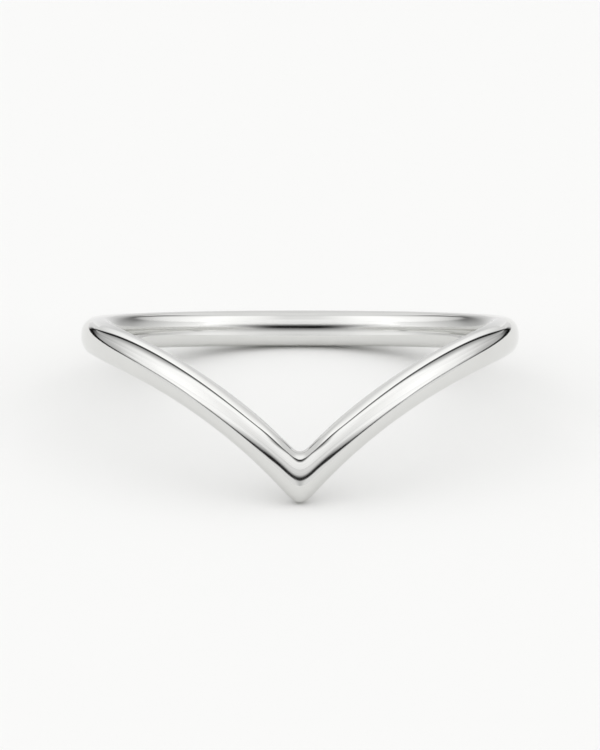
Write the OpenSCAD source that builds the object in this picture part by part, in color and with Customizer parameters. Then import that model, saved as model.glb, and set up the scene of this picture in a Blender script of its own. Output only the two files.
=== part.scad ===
// Chevron ring: a slim polished band whose front dips to a soft V.
// The band is one piece of metal. It is stored lying on its side as it rests by
// itself, on the underside of the V's point and the lower rim of its back.

/* [Band] */
// Inner diameter, the size of the finger
bore_d = 17.3; // [14:0.1:22]
// Width of the band, measured along the finger at the back
band_w = 1.65; // [1.2:0.05:3]
// Thickness of the band, from the finger to its outer face
band_t = 1.4; // [1:0.05:2.4]
// Height of the rounded inner face, a comfort fit
comfort_h = 0.55; // [0.2:0.05:0.85]
// Height of the straight rim between the inner and the outer face
rim_h = 0.1; // [0.05:0.05:0.4]
// Fullness of the outer face's shoulders, where 2 is an ellipse and more is squarer
outer_fullness = 2.3; // [2:0.1:4]
// Fullness of the inner face's shoulders
inner_fullness = 2.5; // [2:0.1:4]

/* [Chevron] */
// Depth of the V below the back, to where the arms' centrelines would meet
v_depth = 6.4; // [3:0.1:8]
// Slope of each arm where it reaches the point, in degrees
arm_slope = 48; // [40:1:58]
// Angle round the finger from the point to where the arms are level with the back
level_angle = 114; // [95:1:165]
// Length over which each arm rounds into the notch above the point
notch_round = 0.5; // [0.1:0.05:1.2]
// Length over which each arm rounds into the tip below the point
tip_round = 0.8; // [0.1:0.05:1.6]

/* [Hidden] */
// Sections from the point to the back, crowded towards the point
half_stations = 60;
station_crowding = 1.7;
// Steps along the outer face and along the inner face of one section
face_steps = 15;
// Halvings in the search for the angle at which the ring rests
tilt_steps = 24;

outer_h = band_t - comfort_h - rim_h;
bore_r = bore_d / 2;
mid_r = bore_r + band_t / 2;
mm_per_degree = mid_r * PI / 180;
arm_power = tan(arm_slope) * mm_per_degree * level_angle / v_depth;

// Share of the way that is left, at an angle from the point, to the level back
function left_to_level(angle) = max(1 - angle / level_angle, 0);

// Height of the centreline at an angle from the point, with the back at 0
function arm_z(angle) = -v_depth * pow(left_to_level(angle), arm_power);

// Rise of the centreline for each millimetre round the finger
function arm_rise(angle) =
    v_depth * arm_power / level_angle / mm_per_degree * pow(left_to_level(angle), arm_power - 1);

// An absolute value with its corner rounded over a reach to each side
function rounded_abs(x, reach) =
    let (s = min(abs(x) / reach, 1))
    s < 1 ? reach * (3 / 8 + 3 / 4 * s ^ 2 - s ^ 4 / 8) : abs(x);

// A superellipse's coordinate for a cosine or sine
function full(c, fullness) = sign(c) * pow(abs(c), 2 / fullness);

// One section as [share of half the width, height over the bore]
section = [
    for (i = [0:face_steps])
        let (a = 180 * i / face_steps)
        [full(cos(a), outer_fullness), band_t - outer_h + outer_h * full(sin(a), outer_fullness)],
    for (i = [0:face_steps])
        let (a = 180 * i / face_steps)
        [-full(cos(a), inner_fullness), comfort_h - comfort_h * full(sin(a), inner_fullness)]
];

// Angles of the sections round the finger, with 0 at the point
stations = [
    for (i = [-half_stations:half_stations - 1])
        sign(i) * 180 * pow(abs(i) / half_stations, station_crowding)
];

// A point of the band at an angle, for one point of the section
function band_point(angle, s) =
    let (
        reach = (tip_round + (notch_round - tip_round) * (s[0] + 1) / 2) / mm_per_degree,
        half_w = band_w / 2 * sqrt(1 + arm_rise(abs(angle)) ^ 2),
        r = bore_r + s[1]
    )
    [r * sin(angle), -r * cos(angle), arm_z(rounded_abs(angle, reach)) + s[0] * half_w];

// Height of a point when the ring leans back by an angle
function leaned_z(p, lean) = p[2] * cos(lean) - p[1] * sin(lean);
function leaned_y(p, lean) = p[1] * cos(lean) + p[2] * sin(lean);

// The lean at which the tip and the back's lower rim are level, by halving
tip_section = [for (s = section) band_point(0, s)];
back_section = [for (s = section) band_point(180, s)];
function lowest(points, lean) = min([for (p = points) leaned_z(p, lean)]);
function find_lean(low, high, steps) =
    let (mid = (low + high) / 2)
    steps == 0 ? mid
        : lowest(tip_section, mid) < lowest(back_section, mid) ? find_lean(mid, high, steps - 1)
        : find_lean(low, mid, steps - 1);
rest_lean = find_lean(0, 45, tilt_steps);

band_points = [for (angle = stations, s = section) band_point(angle, s)];
leaned_ys = [for (p = band_points) leaned_y(p, rest_lean)];
middle_y = (min(leaned_ys) + max(leaned_ys)) / 2;
bottom_z = lowest(back_section, rest_lean);

// Two triangles between each pair of neighbouring points of neighbouring sections
band_faces =
    let (n = len(stations), m = len(section))
    [
        for (i = [0:n - 1], j = [0:m - 1])
            let (i2 = (i + 1) % n, j2 = (j + 1) % m)
            each [
                [i * m + j, i * m + j2, i2 * m + j2],
                [i * m + j, i2 * m + j2, i2 * m + j]
            ]
    ];

// The whole band, swept round the finger and laid down as it rests
module band()
    color("silver")
        translate([0, -middle_y, -bottom_z])
            rotate([-rest_lean, 0, 0])
                polyhedron(points = band_points, faces = band_faces, convexity = 6);

band();
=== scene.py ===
# A chevron ring of polished sterling silver, lying on its side on a pale table.
import math

import bpy
import numpy as np
from mathutils import Matrix, Vector


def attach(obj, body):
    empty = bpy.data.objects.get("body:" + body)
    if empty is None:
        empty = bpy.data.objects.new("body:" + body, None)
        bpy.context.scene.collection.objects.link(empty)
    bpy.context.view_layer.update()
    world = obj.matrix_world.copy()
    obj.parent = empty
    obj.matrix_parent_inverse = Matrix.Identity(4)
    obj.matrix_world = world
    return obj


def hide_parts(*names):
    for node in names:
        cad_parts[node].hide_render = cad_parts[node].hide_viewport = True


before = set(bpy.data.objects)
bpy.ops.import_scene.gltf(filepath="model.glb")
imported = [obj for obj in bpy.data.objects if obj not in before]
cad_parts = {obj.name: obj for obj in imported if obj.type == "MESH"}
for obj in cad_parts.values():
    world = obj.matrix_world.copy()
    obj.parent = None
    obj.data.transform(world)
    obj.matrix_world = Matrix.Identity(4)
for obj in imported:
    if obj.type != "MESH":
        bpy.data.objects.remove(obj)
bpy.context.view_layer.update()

MM = 0.001

# The band's sizes, in millimetres and degrees, as in the part's source
BORE_D = 17.3
BAND_W = 1.65
BAND_T = 1.4
COMFORT_H = 0.55
RIM_H = 0.1
OUTER_FULLNESS = 2.3
INNER_FULLNESS = 2.5
V_DEPTH = 6.4
ARM_SLOPE = 48
LEVEL_ANGLE = 114
NOTCH_ROUND = 0.5
TIP_ROUND = 0.8

# Sections round the finger and points round each section, fine enough for clean reflections,
# how much the sections crowd towards the point, and the gap at the seam, in metres
SECTIONS = 720
SECTION_POINTS = 96
SECTION_CROWDING = 1.3
SEAM_GAP = 1e-6

# The search for the lean at which the ring rests: the most it can be, in degrees, and halvings
LEAN_LIMIT = 45
LEAN_HALVINGS = 40

# The named inputs of the band's tree: name, kind of socket and value
BAND_INPUTS = (
    ("Sections", "NodeSocketInt", SECTIONS),
    ("Section Points", "NodeSocketInt", SECTION_POINTS),
    ("Crowding", "NodeSocketFloat", SECTION_CROWDING),
    ("Bore Radius", "NodeSocketFloat", BORE_D / 2 * MM),
    ("Width", "NodeSocketFloat", BAND_W * MM),
    ("Wall", "NodeSocketFloat", BAND_T * MM),
    ("Comfort Height", "NodeSocketFloat", COMFORT_H * MM),
    ("Rim Height", "NodeSocketFloat", RIM_H * MM),
    ("Outer Fullness", "NodeSocketFloat", OUTER_FULLNESS),
    ("Inner Fullness", "NodeSocketFloat", INNER_FULLNESS),
    ("V Depth", "NodeSocketFloat", V_DEPTH * MM),
    ("Arm Slope", "NodeSocketFloat", math.radians(ARM_SLOPE)),
    ("Level Angle", "NodeSocketFloat", math.radians(LEVEL_ANGLE)),
    ("Notch Round", "NodeSocketFloat", NOTCH_ROUND * MM),
    ("Tip Round", "NodeSocketFloat", TIP_ROUND * MM),
)

# The band's shape, one Math node a row: the result's name, the operation, and what it takes.
# A name is an input of the tree or an earlier result. "along" and "around" run from 0 to 1,
# the one round the finger and the other round the section.
BAND_SUMS = (
    # The turn round the finger, from the back by the V's point to the back again
    ("to both sides", "MULTIPLY_ADD", "along", 2.0, -1.0),
    ("side", "SIGN", "to both sides"),
    ("share", "ABSOLUTE", "to both sides"),
    ("crowded", "POWER", "share", "Crowding"),
    ("turn size", "MULTIPLY", "crowded", math.pi),
    ("turn", "MULTIPLY", "turn size", "side"),
    # The section: a domed outer face and a domed inner face, joined by a straight rim
    ("point turn", "DIVIDE", 2 * math.pi, "Section Points"),
    ("half point", "MULTIPLY", "point turn", 0.5),
    ("section turn", "MULTIPLY_ADD", "around", 2 * math.pi, "half point"),
    ("cos", "COSINE", "section turn"),
    ("sin", "SINE", "section turn"),
    ("outside", "GREATER_THAN", "sin", 0.0),
    ("fuller by", "SUBTRACT", "Outer Fullness", "Inner Fullness"),
    ("fullness", "MULTIPLY_ADD", "fuller by", "outside", "Inner Fullness"),
    ("fullness power", "DIVIDE", 2.0, "fullness"),
    ("cos size", "ABSOLUTE", "cos"),
    ("cos side", "SIGN", "cos"),
    ("across size", "POWER", "cos size", "fullness power"),
    ("across", "MULTIPLY", "across size", "cos side"),
    ("sin size", "ABSOLUTE", "sin"),
    ("dome", "POWER", "sin size", "fullness power"),
    ("dome left", "SUBTRACT", 1.0, "dome"),
    ("outer and comfort", "SUBTRACT", "Wall", "Rim Height"),
    ("outer height", "SUBTRACT", "outer and comfort", "Comfort Height"),
    ("below crown", "MULTIPLY", "outer height", "dome left"),
    ("outer face", "SUBTRACT", "Wall", "below crown"),
    ("inner face", "MULTIPLY", "Comfort Height", "dome left"),
    ("between faces", "SUBTRACT", "outer face", "inner face"),
    ("height", "MULTIPLY_ADD", "between faces", "outside", "inner face"),
    ("radius", "ADD", "Bore Radius", "height"),
    # The arm's fall towards the point, a power of the way that is left to the level back
    ("mid radius", "MULTIPLY_ADD", "Wall", 0.5, "Bore Radius"),
    ("level length", "MULTIPLY", "mid radius", "Level Angle"),
    ("steepness", "TANGENT", "Arm Slope"),
    ("straight fall", "MULTIPLY", "steepness", "level length"),
    ("arm power", "DIVIDE", "straight fall", "V Depth"),
    # The corner at the point, rounded more below than above
    ("notch less tip", "SUBTRACT", "Notch Round", "Tip Round"),
    ("above middle", "MULTIPLY_ADD", "across", 0.5, 0.5),
    ("round length", "MULTIPLY_ADD", "notch less tip", "above middle", "Tip Round"),
    ("reach", "DIVIDE", "round length", "mid radius"),
    ("corner ratio", "DIVIDE", "turn size", "reach"),
    ("corner share", "MINIMUM", "corner ratio", 1.0),
    ("share squared", "POWER", "corner share", 2.0),
    ("corner falls off", "MULTIPLY_ADD", "share squared", -0.125, 0.75),
    ("corner curve", "MULTIPLY_ADD", "corner falls off", "share squared", 0.375),
    ("past reach", "SUBTRACT", "turn size", "reach"),
    ("past corner", "MAXIMUM", "past reach", 0.0),
    ("rounded turn", "MULTIPLY_ADD", "corner curve", "reach", "past corner"),
    ("turn ratio", "DIVIDE", "rounded turn", "Level Angle"),
    ("way left", "SUBTRACT", 1.0, "turn ratio"),
    ("way", "MAXIMUM", "way left", 0.0),
    ("fall share", "POWER", "way", "arm power"),
    ("fall", "MULTIPLY", "fall share", "V Depth"),
    # The band keeps its width across the arm, so along the finger it grows with the slope
    ("plain ratio", "DIVIDE", "turn size", "Level Angle"),
    ("plain left", "SUBTRACT", 1.0, "plain ratio"),
    ("plain way", "MAXIMUM", "plain left", 0.0),
    ("less power", "SUBTRACT", "arm power", 1.0),
    ("rise share", "POWER", "plain way", "less power"),
    ("rise", "MULTIPLY", "steepness", "rise share"),
    ("rise squared", "MULTIPLY_ADD", "rise", "rise", 1.0),
    ("stretch", "SQRT", "rise squared"),
    ("half width", "MULTIPLY", "Width", 0.5),
    ("half span", "MULTIPLY", "half width", "stretch"),
    # The place of each point, upright, with the finger along Z and the V at the front
    ("turn sin", "SINE", "turn"),
    ("turn cos", "COSINE", "turn"),
    ("x", "MULTIPLY", "radius", "turn sin"),
    ("forward", "MULTIPLY", "radius", "turn cos"),
    ("y", "MULTIPLY", "forward", -1.0),
    ("span", "MULTIPLY", "across", "half span"),
    ("z", "SUBTRACT", "span", "fall"),
    # For the polishing marks: the point of the section, the same all along the band
    ("level span", "MULTIPLY", "across", "half width"),
)

# How the photograph looks at the ring: the angle above the band's own plane in degrees, the
# distance in metres, how far below the back it aims in millimetres, and its own scale
VIEW_ABOVE_BAND = 2.08
VIEW_DISTANCE = 0.6
VIEW_BELOW_BACK = 1.854
PHOTO_HEIGHT_PX = 750
PHOTO_PX_PER_MM = 21.766
SENSOR_MM = 36

# The attribute that carries each point's place on the section, for the polishing marks
POLISH_GUIDE = "polish_guide"

# The marks that the polishing wheel leaves, with sizes in millimetres: clouds of haze, and
# lines along the band, some 4 mm long, drawn coarser than the real ones so that they show
HAZE_SIZE = 1.6
LINE_GAP = 0.05
LINES_PER_RADIAN = 2.2
LINE_DEPTH = 0.01
LINE_STRENGTH = 0.0025

# The noise at which a mark is at its least and at its most, and what it gives there: the
# metal's colour and roughness in the haze, and what a line adds to the roughness
NOISE_RANGE = (0.3, 0.7)
SILVER_COLOURS = ("#E7E7E5", "#E4E4E2")
HAZE_ROUGHNESS = (0.055, 0.085)
LINE_ROUGHNESS = (-0.01, 0.012)

# The studio round the ring, told from the band's own plane with the V's point at turn 0.
# A pale sweep rises all round to a dark gap, and a white tent with a roof stands above it.
SWEEP_LIGHT = 0.87
ROOF_LIGHT = 0.87
TENT_BEHIND_LIGHT = 0.79
BACKDROP_LIGHT = 0.9

# The soft box over the table, in metres and watts
SOFT_BOX_HEIGHT = 0.9
SOFT_BOX_SIZE = 2.0
SOFT_BOX_WATTS = 2.0

# The round board that the ring lies on, and how far its middle is from the ring's, in metres
BOARD_RADIUS = 0.085
BOARD_FORWARD = 0.02
BOARD_SIDES = 96
BOARD_COLOUR = "#F4F4F3"
BOARD_ROUGHNESS = 0.9

# What changes with the turn from the front: name, lowest, highest, and (turn, value) pairs
STUDIO_CURVES = (
    # How high the middle of the dark gap stands, in degrees
    ("gap height", -20.0, 20.0, (
        (0, -5), (10, -4.8), (26, -9), (38, -11.2), (53, -8.7), (67, -3.6), (84, -0.5), (98, 2),
        (112, 5), (132, 10), (150, 13), (180, 13))),
    # Half the gap's width, in degrees
    ("gap half width", 0.0, 6.0, (
        (0, 3), (10, 2.6), (26, 2.4), (38, 1.9), (53, 1.2), (67, 0.45), (84, 0.45), (98, 0.8),
        (112, 1.6), (132, 3), (150, 5), (180, 5))),
    # How far above the gap the tent's light comes up, in degrees
    ("soft rise", 0.0, 15.0, (
        (0, 8), (10, 10), (26, 11), (38, 9), (53, 6), (67, 2.5), (84, 2.5), (98, 3), (112, 4),
        (132, 5), (150, 8), (180, 8))),
    # The tent's full light, which it reaches well above the gap
    ("tent light", 0.0, 2.0, (
        (0, 1.06), (10, 1.06), (26, 1.1), (38, 1.2), (53, 1.28), (67, 1.28), (80, 1.17),
        (98, 1.06), (112, 0.93), (132, 0.58), (145, 0.2), (155, 0.1), (180, 0.1))),
    # The share of that light which the foot of the tent has
    ("foot share", 0.0, 1.0, (
        (0, 0.74), (10, 0.8), (26, 0.86), (38, 0.88), (53, 0.98), (67, 0.98), (82, 0.93),
        (98, 0.7), (112, 0.6), (132, 0.75), (180, 0.75))),
    # How high the seam between the tent's wall and its roof stands, in degrees
    ("seam height", 0.0, 60.0, (
        (0, 56), (45, 55), (88, 51), (126, 42), (145, 27), (160, 14), (180, 10))),
    # How dark the seam is
    ("seam depth", 0.0, 1.0, (
        (0, 0.12), (45, 0.2), (88, 0.35), (110, 0.6), (126, 0.85), (145, 0.97), (180, 0.97))),
)

# The turn from the front of a place or a direction, in degrees, the same on both sides
TURN_SUMS = (
    ("side size", "ABSOLUTE", "x"),
    ("frontward", "MULTIPLY", "y", -1.0),
    ("turn angle", "ARCTAN2", "side size", "frontward"),
    ("turn", "DEGREES", "turn angle"),
)

# The studio's light in one direction, one Math node a row, as in the band's own table. It
# comes from the direction's "turn" and "height" in degrees, the curves above, and "bounces",
# which is here one more than the mirrors that the ray has met. SMOOTHSTEP gives 0 below its
# second value, 1 above its third, and a soft step between.
STUDIO_SUMS = (
    # The tent, dim at its foot, and dimmer high up straight ahead, where the camera looks in
    ("over gap", "SUBTRACT", "height", "gap height"),
    ("is over", "GREATER_THAN", "over gap", 0.0),
    ("rise share", "DIVIDE", "over gap", "soft rise"),
    ("rise", "SMOOTHSTEP", "rise share", 0.0, 1.0),
    ("rise tone", "MULTIPLY_ADD", "rise", 0.7, 0.3),
    ("above foot", "SMOOTHSTEP", "over gap", 0.0, 35.0),
    ("share to gain", "SUBTRACT", 1.0, "foot share"),
    ("share", "MULTIPLY_ADD", "share to gain", "above foot", "foot share"),
    ("tent share", "MULTIPLY", "share", "rise tone"),
    ("tent", "MULTIPLY", "tent share", "tent light"),
    ("aside", "SMOOTHSTEP", "turn", 8.0, 30.0),
    ("ahead", "SUBTRACT", 1.0, "aside"),
    ("high", "SMOOTHSTEP", "height", 24.0, 32.0),
    ("ahead and high", "MULTIPLY", "ahead", "high"),
    ("camera shade", "MULTIPLY_ADD", "ahead and high", -0.15, 1.0),
    ("tent wall", "MULTIPLY", "tent", "camera shade"),
    # The roof and the seam below it
    ("over seam", "SUBTRACT", "height", "seam height"),
    ("roof", "SMOOTHSTEP", "over seam", 0.0, 5.0),
    ("roof less wall", "SUBTRACT", ROOF_LIGHT, "tent wall"),
    ("wall or roof", "MULTIPLY_ADD", "roof less wall", "roof", "tent wall"),
    ("seam distance", "ABSOLUTE", "over seam"),
    ("off seam", "SMOOTHSTEP", "seam distance", 1.5, 6.0),
    ("on seam", "SUBTRACT", 1.0, "off seam"),
    ("seam dark", "MULTIPLY", "on seam", "seam depth"),
    ("seam light", "SUBTRACT", 1.0, "seam dark"),
    ("over the gap", "MULTIPLY", "wall or roof", "seam light"),
    # The sweep, with the shade of the camera's stand on it right in front
    ("off stand", "SMOOTHSTEP", "turn", 0.0, 9.0),
    ("sweep", "MULTIPLY_ADD", "off stand", 0.28, SWEEP_LIGHT - 0.28),
    ("over less sweep", "SUBTRACT", "over the gap", "sweep"),
    ("wall and sweep", "MULTIPLY_ADD", "over less sweep", "is over", "sweep"),
    # The gap itself, with a soft upper edge and a crisper lower one
    ("gap distance", "ABSOLUTE", "over gap"),
    ("gap share", "DIVIDE", "gap distance", "gap half width"),
    ("soft edge", "SMOOTHSTEP", "gap share", 0.6, 1.6),
    ("crisp edge", "SMOOTHSTEP", "gap share", 0.6, 1.2),
    ("soft less crisp", "SUBTRACT", "soft edge", "crisp edge"),
    ("edge", "MULTIPLY_ADD", "soft less crisp", "is over", "crisp edge"),
    ("gap light", "MULTIPLY_ADD", "edge", 0.98, 0.02),
    ("front and sides", "MULTIPLY", "wall and sweep", "gap light"),
    # Behind the ring the tent is grey
    ("behind", "SMOOTHSTEP", "turn", 152.0, 160.0),
    ("behind less front", "SUBTRACT", TENT_BEHIND_LIGHT, "front and sides"),
    ("all round", "MULTIPLY_ADD", "behind less front", "behind", "front and sides"),
    # Mirrored twice, in one side of the band and then in the other, it is an even grey
    ("is second", "GREATER_THAN", "bounces", 2.5),
    ("even less all", "SUBTRACT", SWEEP_LIGHT, "all round"),
    ("light", "MULTIPLY_ADD", "even less all", "is second", "all round"),
)

# Three glowing cards, which only polished metal mirrors. The first is held just over the ring,
# and its dark front edge runs along both arms. Its height and slope, in millimetres over the
# band's middle plane, and its reach to the sides, to the front and to the back
CARD_HEIGHT = 3.0
CARD_SLOPE = 0.25
CARD_REACH = (26.0, 34.0, 34.0)

# The even light that deep in the notch the metal mirrors off a card
NOTCH_LIGHT = 0.77

# The first card's light at one place, and the part of it that shows, from "x" and "y" and from
# "way", the length of the ray that comes to it, all in millimetres
CARD_SUMS = (
    # The line of the front edge, and how far a place is behind it
    ("across squared", "MULTIPLY", "x", "x"),
    ("across size", "ABSOLUTE", "x"),
    ("bend squared", "ADD", "across squared", 4.0),
    ("bend", "SQRT", "bend squared"),
    ("straight edge", "MULTIPLY_ADD", "bend", 0.8, -13.9),
    ("bowed edge", "MULTIPLY_ADD", "across squared", 0.03, "straight edge"),
    ("past ten", "SUBTRACT", "across size", 10.2),
    ("outer part", "MAXIMUM", "past ten", 0.0),
    ("outer squared", "MULTIPLY", "outer part", "outer part"),
    ("plain edge", "MULTIPLY_ADD", "outer squared", 0.18, "bowed edge"),
    # From deep in the notch the edge lies further forward
    ("from notch", "SMOOTHSTEP", "way", 4.9, 7.3),
    ("from side", "SMOOTHSTEP", "across size", 5.0, 8.0),
    ("not from side", "SUBTRACT", 1.0, "from side"),
    ("notch share", "MULTIPLY", "from notch", "not from side"),
    ("edge", "MULTIPLY_ADD", "notch share", -2.6, "plain edge"),
    ("past edge", "SUBTRACT", "y", "edge"),
    ("bend slope", "DIVIDE", 0.8, "bend"),
    ("edge slope share", "ADD", "bend slope", 0.06),
    ("edge slope", "MULTIPLY", "across size", "edge slope share"),
    ("slope squared", "MULTIPLY_ADD", "edge slope", "edge slope", 1.0),
    ("slope length", "SQRT", "slope squared"),
    ("inward", "DIVIDE", "past edge", "slope length"),
    ("outward", "MULTIPLY", "inward", -1.0),
    ("from edge", "ABSOLUTE", "inward"),
    ("is inside", "GREATER_THAN", "inward", 0.0),
    # Behind the edge it is white and turns a light grey, and is greyer at the ring's sides
    ("to side", "SMOOTHSTEP", "across size", 7.0, 12.0),
    ("edge white", "MULTIPLY_ADD", "to side", -0.5, 1.22),
    ("inner fall", "SMOOTHSTEP", "inward", 0.0, 5.0),
    ("grey less white", "SUBTRACT", 0.82, "edge white"),
    ("bright inner", "MULTIPLY_ADD", "grey less white", "inner fall", "edge white"),
    ("notch shade", "SMOOTHSTEP", "way", 5.4, 6.8),
    ("even less bright", "SUBTRACT", NOTCH_LIGHT, "bright inner"),
    ("inner tone", "MULTIPLY_ADD", "even less bright", "notch shade", "bright inner"),
    # In front of the edge it is in soft shade, wider and deeper at the ring's sides
    ("shade widens", "SMOOTHSTEP", "across size", 5.0, 8.0),
    ("shade width", "MULTIPLY_ADD", "shade widens", 1.2, 0.8),
    ("shade deepens", "SMOOTHSTEP", "across size", 8.0, 13.0),
    ("shade rise", "MULTIPLY_ADD", "shade deepens", -0.65, 0.8),
    ("outer rise", "SMOOTHSTEP", "outward", 0.2, "shade width"),
    ("outer gain", "MULTIPLY", "outer rise", "shade rise"),
    ("plain outer tone", "ADD", "outer gain", 0.4),
    ("outer tone", "MULTIPLY_ADD", "notch share", -0.13, "plain outer tone"),
    ("inner less outer", "SUBTRACT", "inner tone", "outer tone"),
    ("tone", "MULTIPLY_ADD", "inner less outer", "is inside", "outer tone"),
    # The dark edge, thicker at the ring's sides and thinner in the notch
    ("edge thickens", "SMOOTHSTEP", "across size", 6.0, 12.0),
    ("side half width", "MULTIPLY_ADD", "edge thickens", 0.16, 0.24),
    ("edge half width", "MULTIPLY_ADD", "notch share", -0.13, "side half width"),
    ("edge share", "DIVIDE", "from edge", "edge half width"),
    ("off edge", "SMOOTHSTEP", "edge share", 0.6, 1.4),
    ("edge tone", "MULTIPLY_ADD", "off edge", 0.97, 0.03),
    ("near light", "MULTIPLY", "tone", "edge tone"),
    # It fades out in front of its edge, towards its back, and away from the arms
    ("front fade", "SMOOTHSTEP", "outward", 1.5, 4.0),
    ("front part", "SUBTRACT", 1.0, "front fade"),
    ("back fade", "SMOOTHSTEP", "inward", 9.0, 11.0),
    ("back part", "SUBTRACT", 1.0, "back fade"),
    ("by back", "SMOOTHSTEP", "y", -2.5, -0.5),
    ("way there", "MULTIPLY_ADD", "by back", 2.4, "way"),
    ("way fade", "SMOOTHSTEP", "way there", 11.0, 13.0),
    ("way part", "SUBTRACT", 1.0, "way fade"),
    ("edge parts", "MULTIPLY", "front part", "back part"),
    ("near part", "MULTIPLY", "edge parts", "way part"),
    # From the far wall of the band it is a dark streak, darkest straight ahead
    ("from wall", "SUBTRACT", "y", 8.0),
    ("span squared", "MULTIPLY_ADD", "from wall", "from wall", "across squared"),
    ("span", "SQRT", "span squared"),
    ("share aside", "DIVIDE", "across size", "span"),
    ("streak fade", "SMOOTHSTEP", "share aside", 0.15, 0.9),
    ("streak part", "SUBTRACT", 1.0, "streak fade"),
    ("past streak", "SUBTRACT", "span", 19.8),
    ("off streak", "ABSOLUTE", "past streak"),
    ("streak clear", "SMOOTHSTEP", "off streak", 1.5, 12.0),
    ("on streak", "SUBTRACT", 1.0, "streak clear"),
    ("streak dark", "MULTIPLY", "on streak", "streak part"),
    ("streak light", "SUBTRACT", 1.0, "streak dark"),
    ("white aside", "SMOOTHSTEP", "share aside", 0.0, 0.5),
    ("streak ground", "MULTIPLY_ADD", "white aside", 0.35, 0.82),
    ("far light", "MULTIPLY", "streak ground", "streak light"),
    ("far back fade", "SMOOTHSTEP", "y", -5.0, -1.0),
    ("far back part", "SUBTRACT", 1.0, "far back fade"),
    ("far front part", "SMOOTHSTEP", "y", -33.0, -28.0),
    ("is far", "SMOOTHSTEP", "way", 12.5, 13.8),
    ("far ends", "MULTIPLY", "far back part", "far front part"),
    ("far part", "MULTIPLY", "far ends", "is far"),
    # One look or the other
    ("far less near", "SUBTRACT", "far light", "near light"),
    ("far look", "GREATER_THAN", "way", 12.7),
    ("light", "MULTIPLY_ADD", "far less near", "far look", "near light"),
    ("shown part", "ADD", "near part", "far part"),
)

# The second card is pale and rolled up inside the ring, for its far wall to mirror. Its radius
# and its lower and upper ends, in millimetres
ROLL_RADIUS = 7.6
ROLL_ENDS = (-9.0, 2.0)

# Its light and the part that shows, from the "turn" and the height "z" of the place, and "way"
ROLL_SUMS = (
    # It shows from just under the band's middle down to a soft end, and not to the near wall
    ("side share", "SMOOTHSTEP", "turn", 50.0, 85.0),
    ("top", "MULTIPLY_ADD", "side share", -0.55, -0.3),
    ("below top", "SUBTRACT", "top", "z"),
    ("top part", "SMOOTHSTEP", "below top", 0.0, 0.3),
    ("low part", "SMOOTHSTEP", "z", -9.0, -5.0),
    ("far part", "SMOOTHSTEP", "way", 4.0, 6.0),
    ("ends part", "MULTIPLY", "top part", "low part"),
    ("shown part", "MULTIPLY", "ends part", "far part"),
    # It is dark along its top, darkest in front, and whitest at the ring's sides
    ("below", "MULTIPLY", "z", -1.0),
    ("lit", "SMOOTHSTEP", "below", -0.5, 3.0),
    ("off front", "SMOOTHSTEP", "turn", 5.0, 80.0),
    ("top tone", "MULTIPLY_ADD", "off front", 0.57, 0.08),
    ("tone to gain", "SUBTRACT", 1.0, "top tone"),
    ("lit tone", "MULTIPLY_ADD", "tone to gain", "lit", "top tone"),
    ("aside", "SMOOTHSTEP", "turn", 10.0, 95.0),
    ("behind", "SMOOTHSTEP", "turn", 95.0, 160.0),
    ("aside ground", "MULTIPLY_ADD", "aside", 0.22, 0.84),
    ("ground", "MULTIPLY_ADD", "behind", -0.3, "aside ground"),
    ("light", "MULTIPLY", "ground", "lit tone"),
)

# The third card is bent round the ring's sides and back, for the ends of the far wall to
# mirror. Its radius and its lower and upper ends, in millimetres
BENT_RADIUS = 11.5
BENT_ENDS = (-1.0, 6.5)

# Its light and the part that shows, from the same as the rolled card's
BENT_SUMS = (
    # It shows beside and behind the ring, up to a soft end, and not to the metal close to it
    ("side part", "SMOOTHSTEP", "turn", 80.0, 95.0),
    ("top fade", "SMOOTHSTEP", "z", 4.8, 6.5),
    ("top part", "SUBTRACT", 1.0, "top fade"),
    ("way part", "SMOOTHSTEP", "way", 6.0, 7.4),
    ("ends part", "MULTIPLY", "top part", "side part"),
    ("shown part", "MULTIPLY", "ends part", "way part"),
    # It is greyer towards the back and towards its top
    ("to back", "SMOOTHSTEP", "turn", 80.0, 172.0),
    ("foot light", "MULTIPLY_ADD", "to back", -0.51, 1.17),
    ("right behind", "SMOOTHSTEP", "turn", 145.0, 175.0),
    ("fall", "MULTIPLY_ADD", "right behind", -0.06, -0.03),
    ("plain light", "MULTIPLY_ADD", "z", "fall", "foot light"),
    # Deep in the notch the metal mirrors it as an even grey
    ("from notch", "SMOOTHSTEP", "way", 16.0, 17.5),
    ("behind", "SMOOTHSTEP", "turn", 115.0, 150.0),
    ("notch part", "MULTIPLY", "from notch", "behind"),
    ("even less plain", "SUBTRACT", NOTCH_LIGHT, "plain light"),
    ("light", "MULTIPLY_ADD", "even less plain", "notch part", "plain light"),
)

# Sides of the rolled and of the bent card
CARD_SIDES = 64

# Each card shows only to the first mirror that a ray has met: "bounces" counts them
FIRST_SUMS = (
    ("is first", "LESS_THAN", "bounces", 1.5),
    ("part", "MULTIPLY", "shown part", "is first"),
)


def linear_colour(code):
    """Turn an sRGB hex colour into a linear colour with full alpha."""
    shares = [int(code[i:i + 2], 16) / 255 for i in (1, 3, 5)]
    return [s / 12.92 if s <= 0.04045 else ((s + 0.055) / 1.055) ** 2.4 for s in shares] + [1.0]


def add_node(tree, kind, inputs=None, **settings):
    """Add a node, set its settings, and give each named input a value or a link."""
    node = tree.nodes.new(kind)
    for name, value in settings.items():
        setattr(node, name, value)
    for name, value in (inputs or {}).items():
        if isinstance(value, bpy.types.NodeSocket):
            tree.links.new(value, node.inputs[name])
        else:
            node.inputs[name].default_value = value
    return node


def new_material(name):
    """Start a material, and return it with its empty node tree."""
    material = bpy.data.materials.new(name)
    material.use_nodes = True
    material.node_tree.nodes.clear()
    return material, material.node_tree


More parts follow.
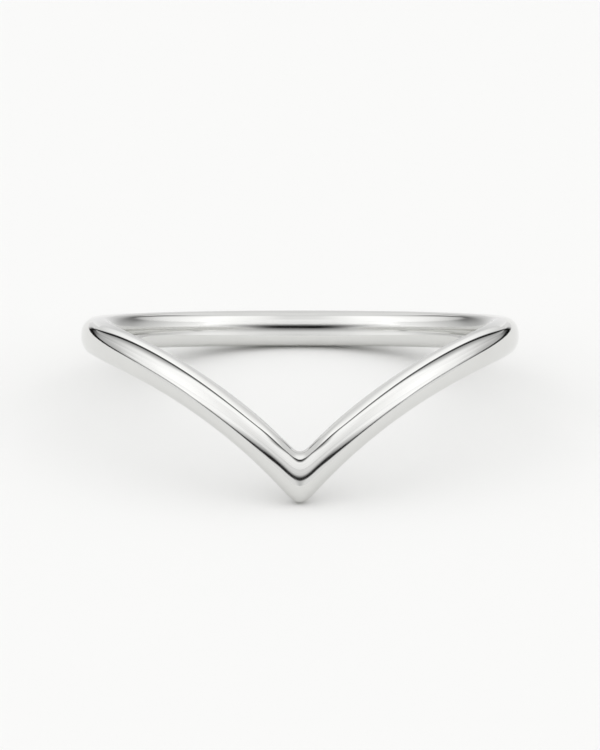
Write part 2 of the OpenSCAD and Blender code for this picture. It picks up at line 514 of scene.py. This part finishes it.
def add_sums(tree, rows, results):
    """Add one Math node for each row of a table, and keep its result by its name."""
    for name, operation, *taken in rows:
        values = {i: results.get(value, value) for i, value in enumerate(taken)}
        if operation == "SMOOTHSTEP":
            node = add_node(tree, "ShaderNodeMapRange", values, interpolation_type=operation)
        else:
            node = add_node(tree, "ShaderNodeMath", values, operation=operation)
        results[name] = node.outputs[0]
    return results


def band_tree(silver):
    """Build the tree that sweeps the band's section round the finger as one closed skin."""
    tree = bpy.data.node_groups.new("chevron band", "GeometryNodeTree")
    for name, kind, _ in BAND_INPUTS:
        tree.interface.new_socket(name, in_out="INPUT", socket_type=kind)
    tree.interface.new_socket("Geometry", in_out="OUTPUT", socket_type="NodeSocketGeometry")
    sizes = add_node(tree, "NodeGroupInput").outputs
    place = add_node(tree, "GeometryNodeInputPosition").outputs["Position"]
    grid_axes = add_node(tree, "ShaderNodeSeparateXYZ", {"Vector": place}).outputs

    results = {name: sizes[name] for name, _, _ in BAND_INPUTS}
    results["along"] = add_node(tree, "ShaderNodeMath", {0: grid_axes["X"], 1: 0.5}).outputs[0]
    results["around"] = add_node(tree, "ShaderNodeMath", {0: grid_axes["Y"], 1: 0.5}).outputs[0]
    add_sums(tree, BAND_SUMS, results)

    columns = add_node(tree, "ShaderNodeMath", {0: sizes["Sections"], 1: 1.0}).outputs[0]
    rows = add_node(tree, "ShaderNodeMath", {0: sizes["Section Points"], 1: 1.0}).outputs[0]
    grid = add_node(tree, "GeometryNodeMeshGrid", {
        "Size X": 1.0, "Size Y": 1.0, "Vertices X": columns, "Vertices Y": rows})
    on_band = add_node(tree, "ShaderNodeCombineXYZ", {
        "X": results["x"], "Y": results["y"], "Z": results["z"]})
    on_section = add_node(tree, "ShaderNodeCombineXYZ", {
        "X": results["level span"], "Y": results["height"], "Z": results["turn"]})
    marked = add_node(tree, "GeometryNodeStoreNamedAttribute", {
        "Geometry": grid.outputs["Mesh"], "Name": POLISH_GUIDE, "Value": on_section.outputs[0]},
        data_type="FLOAT_VECTOR", domain="CORNER")
    swept = add_node(tree, "GeometryNodeSetPosition", {
        "Geometry": marked.outputs[0], "Position": on_band.outputs[0]})
    closed = add_node(tree, "GeometryNodeMergeByDistance", {
        "Geometry": swept.outputs[0], "Distance": SEAM_GAP})
    outward = add_node(tree, "GeometryNodeFlipFaces", {"Mesh": closed.outputs[0]})
    smooth = add_node(tree, "GeometryNodeSetShadeSmooth", {"Geometry": outward.outputs[0]})
    real = add_node(tree, "GeometryNodeRealizeInstances", {"Geometry": smooth.outputs[0]})
    finished = add_node(tree, "GeometryNodeSetMaterial", {
        "Geometry": real.outputs[0], "Material": silver})
    add_node(tree, "NodeGroupOutput", {"Geometry": finished.outputs[0]})
    return tree


def rest_lean(points):
    """Find the lean at which the V's point and the lower rim of the back are level."""
    front = points[points[:, 1] < 0]
    back = points[points[:, 1] > 0]
    low = 0.0
    high = math.radians(LEAN_LIMIT)
    for _ in range(LEAN_HALVINGS):
        lean = (low + high) / 2
        up = np.array((0.0, -math.sin(lean), math.cos(lean)))
        if (front @ up).min() < (back @ up).min():
            low = lean
        else:
            high = lean
    return lean


def make_band(silver):
    """Make the band's mesh, and return it with the matrix that lays it down as it rests."""
    band = bpy.data.objects.new("silver_band", bpy.data.meshes.new("silver_band"))
    bpy.context.collection.objects.link(band)
    sweep = band.modifiers.new("sweep", "NODES")
    sweep.node_group = band_tree(silver)
    sizes = {name: value for name, _, value in BAND_INPUTS}
    for item in sweep.node_group.interface.items_tree:
        if item.in_out == "INPUT":
            sweep[item.identifier] = sizes[item.name]
    band.data.update_tag()

    depsgraph = bpy.context.evaluated_depsgraph_get()
    mesh = bpy.data.meshes.new_from_object(
        band.evaluated_get(depsgraph), preserve_all_data_layers=True, depsgraph=depsgraph)
    band.modifiers.remove(sweep)
    band.data = mesh

    points = np.empty(len(mesh.vertices) * 3)
    mesh.vertices.foreach_get("co", points)
    points = points.reshape(-1, 3)
    lean = rest_lean(points)
    turned = Matrix.Rotation(-lean, 4, "X")
    leaned = points @ np.array(turned.to_3x3()).T
    middle = (leaned[:, 1].min() + leaned[:, 1].max()) / 2
    laid = Matrix.Translation((0.0, -middle, -leaned[:, 2].min())) @ turned
    mesh.transform(laid)
    return band, laid


def polished_silver():
    """Sterling silver, cast and mirror polished: white metal with crisp dark reflections.

    Faint clouds of haze soften the mirror here and there, and hair-fine lines left by the
    polishing wheel run along the band.
    """
    material, tree = new_material("polished_sterling_silver")
    place = add_node(tree, "ShaderNodeTexCoord").outputs["Object"]
    guide = add_node(tree, "ShaderNodeAttribute", attribute_name=POLISH_GUIDE).outputs["Vector"]

    haze = add_node(tree, "ShaderNodeTexNoise", {
        "Vector": place, "Scale": 1 / (HAZE_SIZE * MM), "Detail": 3.0, "Roughness": 0.55})
    lines_per_metre = 1 / (LINE_GAP * MM)
    on_lines = add_node(tree, "ShaderNodeVectorMath", {
        0: guide, 1: (lines_per_metre, lines_per_metre, LINES_PER_RADIAN)}, operation="MULTIPLY")
    lines = add_node(tree, "ShaderNodeTexNoise", {
        "Vector": on_lines.outputs[0], "Scale": 1.0, "Detail": 2.0, "Roughness": 0.6})

    # Each result: a noise's values, taken from one range to another
    tint, dulled, lined = [
        add_node(tree, "ShaderNodeMapRange", {
            "Value": noise.outputs[0], "From Min": NOISE_RANGE[0], "From Max": NOISE_RANGE[1],
            "To Min": least, "To Max": most}).outputs[0]
        for noise, (least, most) in (
            (haze, (0.0, 1.0)), (haze, HAZE_ROUGHNESS), (lines, LINE_ROUGHNESS))]
    # The Mix node's colours are its inputs 6 and 7 and its output 2
    clear, hazy = map(linear_colour, SILVER_COLOURS)
    metal_colour = add_node(
        tree, "ShaderNodeMix", {"Factor": tint, 6: clear, 7: hazy}, data_type="RGBA")
    roughness = add_node(tree, "ShaderNodeMath", {0: dulled, 1: lined})
    relief = add_node(tree, "ShaderNodeBump", {
        "Height": lines.outputs[0], "Strength": LINE_STRENGTH, "Distance": LINE_DEPTH * MM})
    metal = add_node(tree, "ShaderNodeBsdfPrincipled", {
        "Base Color": metal_colour.outputs[2], "Metallic": 1.0,
        "Roughness": roughness.outputs[0], "Normal": relief.outputs[0]})
    add_node(tree, "ShaderNodeOutputMaterial", {"Surface": metal.outputs[0]})
    return material


def add_sheet(name, corners, faces, material):
    """Add a sheet of the studio, which is no part of the ring."""
    mesh = bpy.data.meshes.new(name)
    mesh.from_pydata(corners, [], faces)
    mesh.materials.append(material)
    sheet = bpy.data.objects.new(name, mesh)
    bpy.context.collection.objects.link(sheet)
    return sheet


def pale_table():
    """A round table top of matt white board under the ring."""
    material, tree = new_material("matt_white_board")
    board = add_node(tree, "ShaderNodeBsdfPrincipled", {
        "Base Color": linear_colour(BOARD_COLOUR), "Roughness": BOARD_ROUGHNESS,
        "Specular IOR Level": 0.0})
    add_node(tree, "ShaderNodeOutputMaterial", {"Surface": board.outputs[0]})
    turns = [2 * math.pi * i / BOARD_SIDES for i in range(BOARD_SIDES)]
    corners = [
        (BOARD_RADIUS * math.cos(turn), BOARD_RADIUS * math.sin(turn) - BOARD_FORWARD, 0.0)
        for turn in turns]
    add_sheet("table", corners, [range(BOARD_SIDES)], material)


def rolled_card(radius, ends):
    """Work out the corners and the faces of a card rolled round the ring's own axis."""
    turns = [2 * math.pi * i / CARD_SIDES for i in range(CARD_SIDES)]
    corners = [
        (radius * MM * math.sin(turn), -radius * MM * math.cos(turn), end * MM)
        for end in ends for turn in turns]
    faces = [
        (i, (i + 1) % CARD_SIDES, (i + 1) % CARD_SIDES + CARD_SIDES, i + CARD_SIDES)
        for i in range(CARD_SIDES)]
    return corners, faces


def light_cards(laid):
    """Put glowing cards over, inside and behind the ring, for the metal alone to mirror."""
    side, front, back = CARD_REACH
    over = [
        (x * MM, y * MM, (CARD_HEIGHT + CARD_SLOPE * y) * MM)
        for x, y in ((-side, -front), (side, -front), (side, back), (-side, back))]
    for name, sums, corners, faces in (
            ("card_over_ring", CARD_SUMS, over, [(0, 1, 2, 3)]),
            ("card_in_ring", TURN_SUMS + ROLL_SUMS, *rolled_card(ROLL_RADIUS, ROLL_ENDS)),
            ("card_behind_ring", TURN_SUMS + BENT_SUMS, *rolled_card(BENT_RADIUS, BENT_ENDS))):
        material, tree = new_material(name)
        place = add_node(tree, "ShaderNodeTexCoord").outputs["Object"]
        in_mm = add_node(tree, "ShaderNodeVectorMath", {
            0: place, "Scale": 1 / MM}, operation="SCALE")
        axes = add_node(tree, "ShaderNodeSeparateXYZ", {"Vector": in_mm.outputs[0]}).outputs
        ray = add_node(tree, "ShaderNodeLightPath").outputs
        way = add_node(tree, "ShaderNodeMath", {
            0: ray["Ray Length"], 1: 1 / MM}, operation="MULTIPLY")
        results = add_sums(tree, sums + FIRST_SUMS, {
            "x": axes["X"], "y": axes["Y"], "z": axes["Z"],
            "way": way.outputs[0], "bounces": ray["Ray Depth"]})
        glow = add_node(tree, "ShaderNodeEmission", {"Strength": results["light"]})
        clear = add_node(tree, "ShaderNodeBsdfTransparent")
        card = add_node(tree, "ShaderNodeMixShader", {
            0: results["part"], 1: clear.outputs[0], 2: glow.outputs[0]})
        add_node(tree, "ShaderNodeOutputMaterial", {"Surface": card.outputs[0]})
        sheet = add_sheet(name, corners, faces, material)
        sheet.matrix_world = laid
        for kind in ("camera", "diffuse", "transmission", "volume_scatter", "shadow"):
            setattr(sheet, "visible_" + kind, False)


def white_tent(laid):
    """Light the ring with the sweep, the tent and the roof round it, told by direction."""
    world = bpy.data.worlds.new("studio")
    world.use_nodes = True
    tree = world.node_tree
    tree.nodes.clear()
    # The direction, turned so that the band's own plane is level
    towards = add_node(tree, "ShaderNodeTexCoord").outputs["Generated"]
    turned = add_node(tree, "ShaderNodeVectorRotate", {
        "Vector": towards, "Angle": -laid.to_euler().x}, rotation_type="X_AXIS")
    axes = add_node(tree, "ShaderNodeSeparateXYZ", {"Vector": turned.outputs[0]}).outputs
    ray = add_node(tree, "ShaderNodeLightPath").outputs
    results = add_sums(tree, TURN_SUMS + (
        ("turn share", "DIVIDE", "turn", 180.0),
        ("height angle", "ARCSINE", "z"),
        ("height", "DEGREES", "height angle"),
    ), {"x": axes["X"], "y": axes["Y"], "z": axes["Z"], "bounces": ray["Ray Depth"]})
    for name, lowest, highest, pairs in STUDIO_CURVES:
        curve = add_node(tree, "ShaderNodeFloatCurve", {"Value": results["turn share"]})
        points = curve.mapping.curves[0].points
        first, *between, last = [
            (turn / 180, (value - lowest) / (highest - lowest)) for turn, value in pairs]
        for place in between:
            points.new(*place)
        points[0].location = first
        points[-1].location = last
        curve.mapping.update()
        results["curve"] = curve.outputs[0]
        add_sums(tree, ((name, "MULTIPLY_ADD", "curve", highest - lowest, lowest),), results)
    add_sums(tree, STUDIO_SUMS, results)
    white = (1.0, 1.0, 1.0, 1.0)
    light = add_node(tree, "ShaderNodeBackground", {
        "Color": white, "Strength": results["light"]})
    # The open view past the table is a plain pale backdrop
    backdrop = add_node(tree, "ShaderNodeBackground", {
        "Color": white, "Strength": BACKDROP_LIGHT})
    shown = add_node(tree, "ShaderNodeMixShader", {
        0: ray["Is Camera Ray"], 1: light.outputs[0], 2: backdrop.outputs[0]})
    add_node(tree, "ShaderNodeOutputWorld", {"Surface": shown.outputs[0]})
    bpy.context.scene.world = world


def soft_box():
    """Light the table from overhead, with a lamp that the metal doesn't mirror."""
    data = bpy.data.lights.new("soft_box", "AREA")
    data.shape = "DISK"
    data.size = SOFT_BOX_SIZE
    data.energy = SOFT_BOX_WATTS
    box = bpy.data.objects.new("soft_box", data)
    box.location = (0.0, 0.0, SOFT_BOX_HEIGHT)
    box.visible_glossy = False
    bpy.context.collection.objects.link(box)


def aim_camera(laid):
    """Place the camera at the photograph's angle to the band, and size the ring as it does."""
    data = bpy.data.cameras.new("camera")
    data.sensor_width = SENSOR_MM
    data.lens = PHOTO_PX_PER_MM / MM * VIEW_DISTANCE * SENSOR_MM / PHOTO_HEIGHT_PX
    camera = bpy.data.objects.new("camera", data)
    bpy.context.collection.objects.link(camera)
    tilt = Matrix.Rotation(math.radians(90 - VIEW_ABOVE_BAND), 4, "X")
    eye = tilt @ Vector((0.0, -VIEW_BELOW_BACK * MM, VIEW_DISTANCE))
    camera.matrix_world = laid @ Matrix.Translation(eye) @ tilt
    bpy.context.scene.camera = camera


silver = polished_silver()
band, laid = make_band(silver)
pale_table()
light_cards(laid)
white_tent(laid)
soft_box()
aim_camera(laid)
bpy.context.scene.view_settings.view_transform = "Standard"

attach(band, "root")
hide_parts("band")
